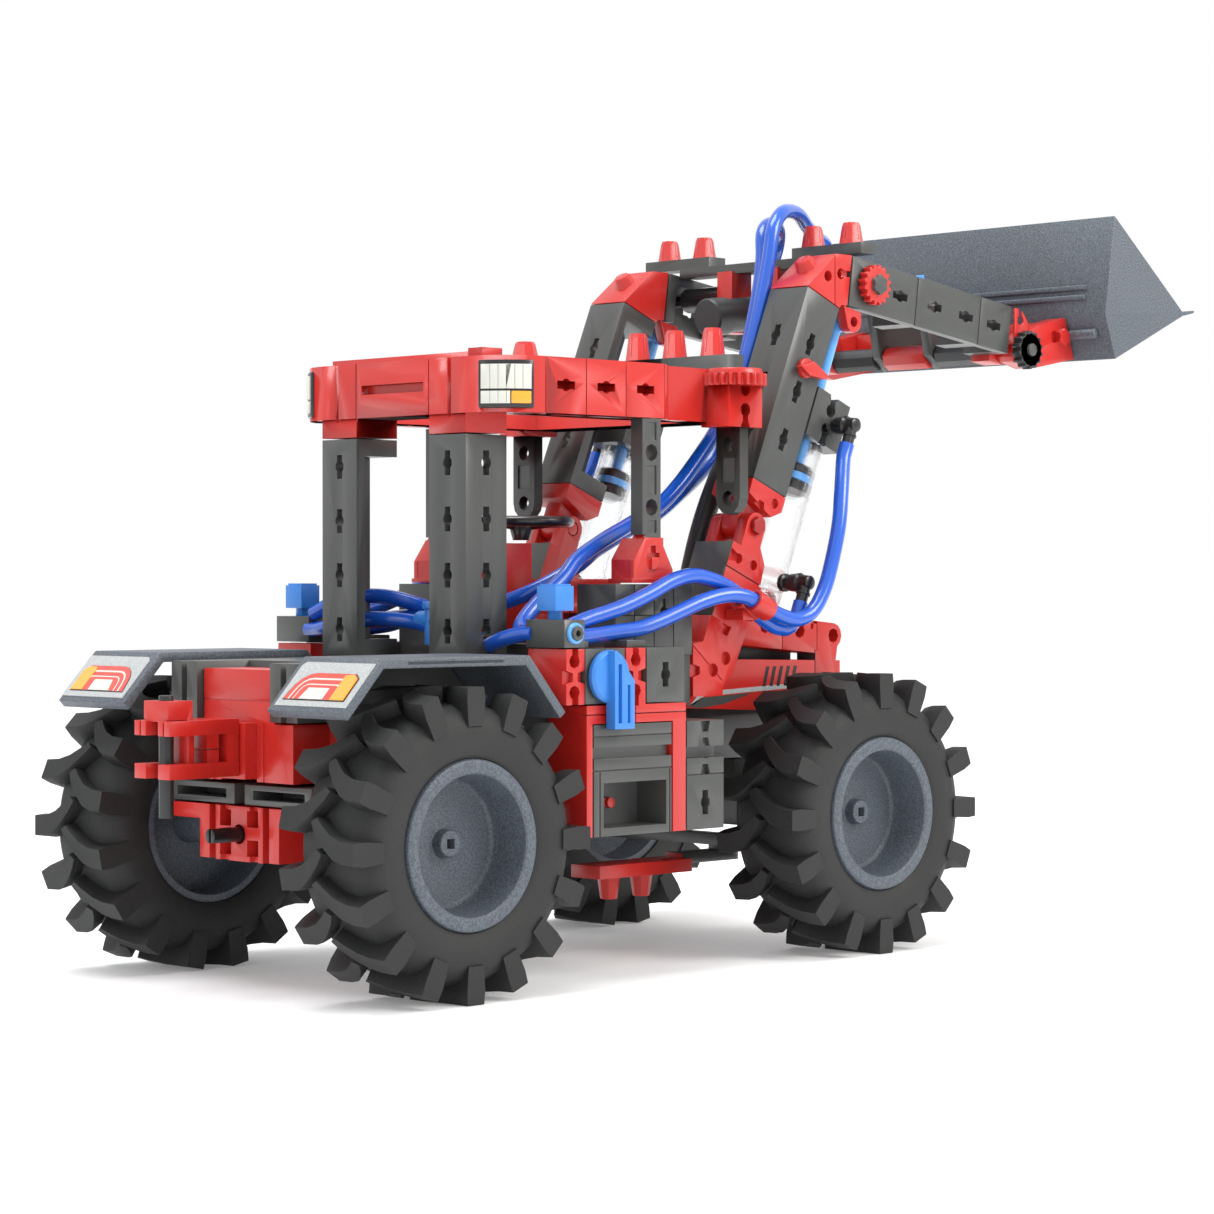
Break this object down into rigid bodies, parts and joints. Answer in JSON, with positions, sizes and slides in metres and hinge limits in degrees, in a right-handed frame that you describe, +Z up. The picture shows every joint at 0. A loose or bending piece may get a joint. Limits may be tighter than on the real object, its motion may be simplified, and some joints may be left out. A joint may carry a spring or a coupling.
{
  "type": "loader tractor kit",
  "caption": "Construction-kit tractor with a pneumatic front loader: bent lift arms on two cylinders, a tipping bucket, block-built chassis and cab, large lugged wheels.",
  "frame": {"origin": "on the ground, under the middle of the overall length and width", "axes": "+X forward to the bucket, +Y to the driver's left, +Z up"},
  "size_m": [0.3678, 0.135, 0.2202],
  "materials": {
    "red_plastic": "moulded red plastic with a soft shine",
    "grey_plastic": "moulded warm dark grey plastic",
    "speckled_plastic": "speckled dark grey plastic",
    "rim_plastic": "speckled mid-grey plastic",
    "black_plastic": "black plastic",
    "tyre_rubber": "matte charcoal rubber",
    "hose_blue": "glossy blue soft tube",
    "lever_blue": "light blue plastic",
    "clear_plastic": "clear moulded tube"
  },
  "bodies": {
    "body": {"chassis_core": "grey_plastic", "rear_blocks": "red_plastic", "hitch_bracket": "red_plastic", "roof_frame": "red_plastic", "dash_console": "red_plastic", "hood": "red_plastic", "exhaust_pipe": "grey_plastic", "front_axle": "grey_plastic", "rotary_valve": "grey_plastic", "hose_boom_near": "hose_blue", "hose_boom_far": "hose_blue", "side_frame_left": "red_plastic", "side_frame_right": "red_plastic", "hand_valve_left": "grey_plastic", "hand_valve_right": "grey_plastic", "fender_left": "speckled_plastic", "fender_right": "speckled_plastic", "rear_post_left": "grey_plastic", "rear_post_right": "grey_plastic", "mid_post_left": "grey_plastic", "mid_post_right": "grey_plastic", "pivot_column_left": "red_plastic", "pivot_column_right": "red_plastic", "hose_lower_left": "hose_blue", "hose_lower_right": "hose_blue", "hose_upper_left": "hose_blue", "hose_upper_right": "hose_blue"},
    "wheel_rear_left": {"tyre_rear_left": "tyre_rubber", "rim_rear_left": "rim_plastic"},
    "wheel_rear_right": {"tyre_rear_right": "tyre_rubber", "rim_rear_right": "rim_plastic"},
    "wheel_front_left": {"tyre_front_left": "tyre_rubber", "rim_front_left": "rim_plastic"},
    "wheel_front_right": {"tyre_front_right": "tyre_rubber", "rim_front_right": "rim_plastic"},
    "boom": {"boom_upright_left": "grey_plastic", "boom_upright_right": "grey_plastic", "boom_elbow_left": "red_plastic", "boom_elbow_right": "red_plastic", "boom_arm_left": "grey_plastic", "boom_arm_right": "grey_plastic", "boom_cross_tie": "grey_plastic", "bucket_shaft": "red_plastic", "tilt_barrel": "clear_plastic"},
    "lift_barrel_left": {"lift_barrel_left": "clear_plastic"},
    "lift_rod_left": {"lift_rod_left": "hose_blue"},
    "knuckle_left": {"knuckle_left": "red_plastic"},
    "valve_knob_left": {"valve_knob_left": "lever_blue"},
    "lift_barrel_right": {"lift_barrel_right": "clear_plastic"},
    "lift_rod_right": {"lift_rod_right": "hose_blue"},
    "knuckle_right": {"knuckle_right": "red_plastic"},
    "valve_knob_right": {"valve_knob_right": "lever_blue"},
    "tilt_rod": {"tilt_rod": "hose_blue"},
    "tie_rod": {"tie_rod": "grey_plastic"},
    "steering_wheel": {"steering_wheel": "black_plastic"},
    "rotary_lever": {"rotary_lever": "lever_blue"},
    "hitch_pin": {"hitch_pin": "grey_plastic"},
    "pto_shaft": {"pto_shaft": "black_plastic"},
    "bucket": {"bucket": "speckled_plastic", "bucket_mount": "red_plastic"}
  },
  "joints": [
    {"name": "boom_lift", "type": "hinge", "parent": "body", "child": "boom", "pos_m": [-0.00635, 0, 0.1219], "axis": [0, 1, 0], "range_deg": [0, 52], "deforming": ["hose_boom_near", "hose_boom_far"]},
    {"name": "bucket_tilt", "type": "hinge", "parent": "boom", "child": "bucket", "pos_m": [0.11395, 0, 0.1775], "axis": [0, -1, 0], "range_deg": [-45, 25]},
    {"name": "tilt_rod_slide", "type": "slide", "parent": "boom", "child": "tilt_rod", "axis": [0.9932, 0, 0.1163], "range_m": [-0.0085, 0.0145]},
    {"name": "lift_barrel_left_pivot", "type": "hinge", "parent": "body", "child": "lift_barrel_left", "pos_m": [0.00295, 0.0375, 0.101], "axis": [0, 1, 0], "range_deg": [-2, 56], "deforming": ["hose_lower_left", "hose_upper_left"]},
    {"name": "lift_rod_left_slide", "type": "slide", "parent": "lift_barrel_left", "child": "lift_rod_left", "axis": [0.3773, 0, 0.9261], "range_m": [-0.0215, 0.001]},
    {"name": "lift_barrel_right_pivot", "type": "hinge", "parent": "body", "child": "lift_barrel_right", "pos_m": [0.00295, -0.0375, 0.101], "axis": [0, 1, 0], "range_deg": [-2, 56], "deforming": ["hose_lower_right", "hose_upper_right"]},
    {"name": "lift_rod_right_slide", "type": "slide", "parent": "lift_barrel_right", "child": "lift_rod_right", "axis": [0.3773, 0, 0.9261], "range_m": [-0.0215, 0.001]},
    {"name": "wheel_rear_left_spin", "type": "hinge", "parent": "body", "child": "wheel_rear_left", "pos_m": [-0.13355, 0.052, 0.04], "axis": [0, 1, 0], "continuous": true},
    {"name": "wheel_rear_right_spin", "type": "hinge", "parent": "body", "child": "wheel_rear_right", "pos_m": [-0.13355, -0.052, 0.04], "axis": [0, 1, 0], "continuous": true},
    {"name": "wheel_front_left_spin", "type": "hinge", "parent": "knuckle_left", "child": "wheel_front_left", "pos_m": [0.02395, 0.052, 0.04], "axis": [0, 1, 0], "continuous": true},
    {"name": "wheel_front_right_spin", "type": "hinge", "parent": "knuckle_right", "child": "wheel_front_right", "pos_m": [0.02395, -0.052, 0.04], "axis": [0, 1, 0], "continuous": true},
    {"name": "steer_left", "type": "hinge", "parent": "body", "child": "knuckle_left", "pos_m": [0.02395, 0.032, 0.04], "axis": [0, 0, 1], "range_deg": [-14, 14]},
    {"name": "steer_right", "type": "hinge", "parent": "body", "child": "knuckle_right", "pos_m": [0.02395, -0.032, 0.04], "axis": [0, 0, 1], "range_deg": [-14, 14]},
    {"name": "tie_rod_slide", "type": "slide", "parent": "body", "child": "tie_rod", "axis": [0, 1, 0], "range_m": [-0.0034, 0.0034]},
    {"name": "steering_wheel_turn", "type": "hinge", "parent": "body", "child": "steering_wheel", "pos_m": [-0.05555, 0, 0.123], "axis": [0, 0, 1], "continuous": true},
    {"name": "valve_knob_left_turn", "type": "hinge", "parent": "body", "child": "valve_knob_left", "pos_m": [-0.09225, 0.0525, 0.098], "axis": [0, 0, 1], "range_deg": [-45, 45]},
    {"name": "valve_knob_right_turn", "type": "hinge", "parent": "body", "child": "valve_knob_right", "pos_m": [-0.09225, -0.0525, 0.098], "axis": [0, 0, 1], "range_deg": [-45, 45]},
    {"name": "rotary_lever_turn", "type": "hinge", "parent": "body", "child": "rotary_lever", "pos_m": [-0.08075, -0.06, 0.0812], "axis": [0, 1, 0], "range_deg": [-45, 45]},
    {"name": "hitch_pin_lift", "type": "slide", "parent": "body", "child": "hitch_pin", "axis": [0, 0, 1], "range_m": [0, 0.02]},
    {"name": "pto_spin", "type": "hinge", "parent": "body", "child": "pto_shaft", "pos_m": [-0.15355, 0, 0.0404], "axis": [1, 0, 0], "continuous": true}
  ],
  "couplings": [
    {"joint": "lift_barrel_left_pivot", "follows": "boom_lift", "ratio": 0.8825},
    {"joint": "lift_barrel_right_pivot", "follows": "boom_lift", "ratio": 0.8825},
    {"joint": "lift_rod_left_slide", "follows": "boom_lift", "m_per_rad": -0.0203},
    {"joint": "lift_rod_right_slide", "follows": "boom_lift", "m_per_rad": -0.0203},
    {"joint": "tilt_rod_slide", "follows": "bucket_tilt", "m_per_rad": -0.0174},
    {"joint": "steer_right", "follows": "steer_left", "ratio": 1},
    {"joint": "tie_rod_slide", "follows": "steer_left", "m_per_rad": -0.0122}
  ]
}
